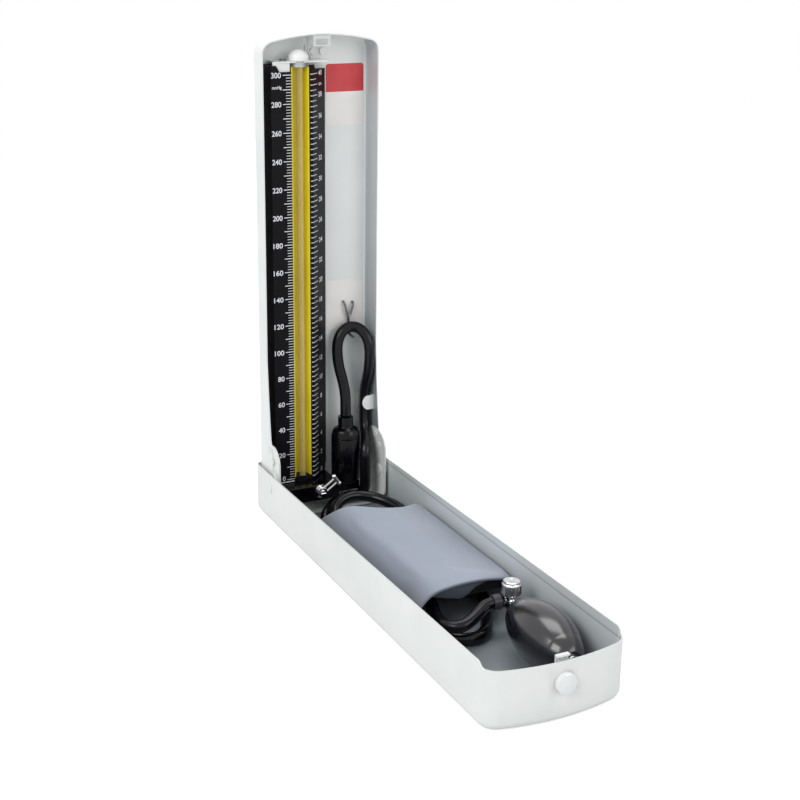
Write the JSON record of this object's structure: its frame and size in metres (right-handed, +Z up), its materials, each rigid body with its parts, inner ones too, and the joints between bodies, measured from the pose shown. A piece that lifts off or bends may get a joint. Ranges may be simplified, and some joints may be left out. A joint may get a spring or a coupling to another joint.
{
  "type": "mercury sphygmomanometer",
  "caption": "Desk mercury sphygmomanometer: white pressed-steel case standing open, black scale panel with glass tube, grey-blue cuff, hose and bulb",
  "frame": {"origin": "bottom centre of the bounding box, on the surface the base stands on", "axes": "+X to the viewer's right facing the scale, +Y from the latch front to the hinge rear, +Z up"},
  "size_m": [0.0946, 0.3542, 0.3494],
  "materials": {
    "white_paint": "semi-gloss off-white enamel",
    "black_paint": "satin black enamel",
    "yellow_paint": "yellow enamel",
    "bright_steel": "bright nickel-plated steel",
    "zinc_steel": "pale enamelled steel",
    "chrome": "polished chrome plate",
    "black_plastic": "glossy black moulding",
    "white_plastic": "glossy white moulding",
    "clear_plastic": "clear moulding",
    "grey_rubber": "glossy blue-grey rubber",
    "black_rubber": "satin black rubber",
    "cuff_cloth": "slate blue-grey woven nylon",
    "clear_glass": "clear glass",
    "mercury": "liquid mercury",
    "filter_leather": "thin filter leather",
    "label_paper": "printed paper label, left bare"
  },
  "bodies": {
    "base": {"base_shell": "white_paint", "hinge_pins": "bright_steel", "hinge_washers": "white_plastic", "latch_guide": "zinc_steel", "latch_spring": "bright_steel", "lid_stop": "white_paint", "cuff": "cuff_cloth", "cuff_bladder": "grey_rubber", "cuff_tube": "grey_rubber", "hose_joiner": "black_plastic", "base_hose": "grey_rubber", "hose_bend": "grey_rubber", "bulb_tube": "grey_rubber", "tube_collar": "chrome", "bulb": "black_rubber", "bulb_intake_valve": "chrome", "release_valve_body": "chrome"},
    "lid": {"lid_shell": "white_paint", "ear_bracket_left": "white_paint", "ear_bracket_right": "white_paint", "ear_rivets": "bright_steel", "latch_striker": "white_paint", "scale_panel": "black_paint", "panel_rivets": "bright_steel", "tube_backing": "yellow_paint", "glass_tube": "clear_glass", "mercury_column": "mercury", "tube_seal": "black_rubber", "tube_top_ring": "clear_plastic", "tube_cap": "white_plastic", "cap_keeper": "bright_steel", "top_bracket": "white_paint", "bracket_rivets": "white_paint", "bracket_screw": "bright_steel", "valve_block": "black_plastic", "valve_gland_nut": "chrome", "block_screws": "bright_steel", "reservoir_body": "black_plastic", "reservoir_cap": "black_plastic", "reservoir_gasket": "black_rubber", "reservoir_filter": "filter_leather", "reservoir_mercury": "mercury", "upper_label": "label_paper", "lower_label": "label_paper", "hose_hook": "bright_steel", "hose_clip": "white_plastic", "reservoir_hose": "grey_rubber"},
    "latch": {"push_button": "white_plastic", "latch_catch": "zinc_steel"},
    "valve": {"valve_plug": "bright_steel", "valve_lever": "chrome", "lever_screw": "bright_steel"},
    "release_knob": {"release_valve_knob": "chrome"}
  },
  "joints": [
    {"name": "lid_hinge", "type": "hinge", "parent": "base", "child": "lid", "pos_m": [0, 0.1476, 0.029], "axis": [1, 0, 0], "range_deg": [0, 90], "deforming": ["hose_bend"]},
    {"name": "latch_slide", "type": "slide", "parent": "base", "child": "latch", "axis": [0, 1, 0], "range_m": [0, 0.0022], "stiffness_N_per_m": 400, "deforming": ["latch_spring"]},
    {"name": "valve_lever_turn", "type": "hinge", "parent": "lid", "child": "valve", "pos_m": [-0.0075, 0.1411, 0.0204], "axis": [0, 1, 0], "range_deg": [-90, 0]},
    {"name": "release_knob_turn", "type": "hinge", "parent": "base", "child": "release_knob", "pos_m": [0.0269, -0.0705, 0.031], "axis": [0, 0, 1], "range_deg": [0, 360]}
  ]
}
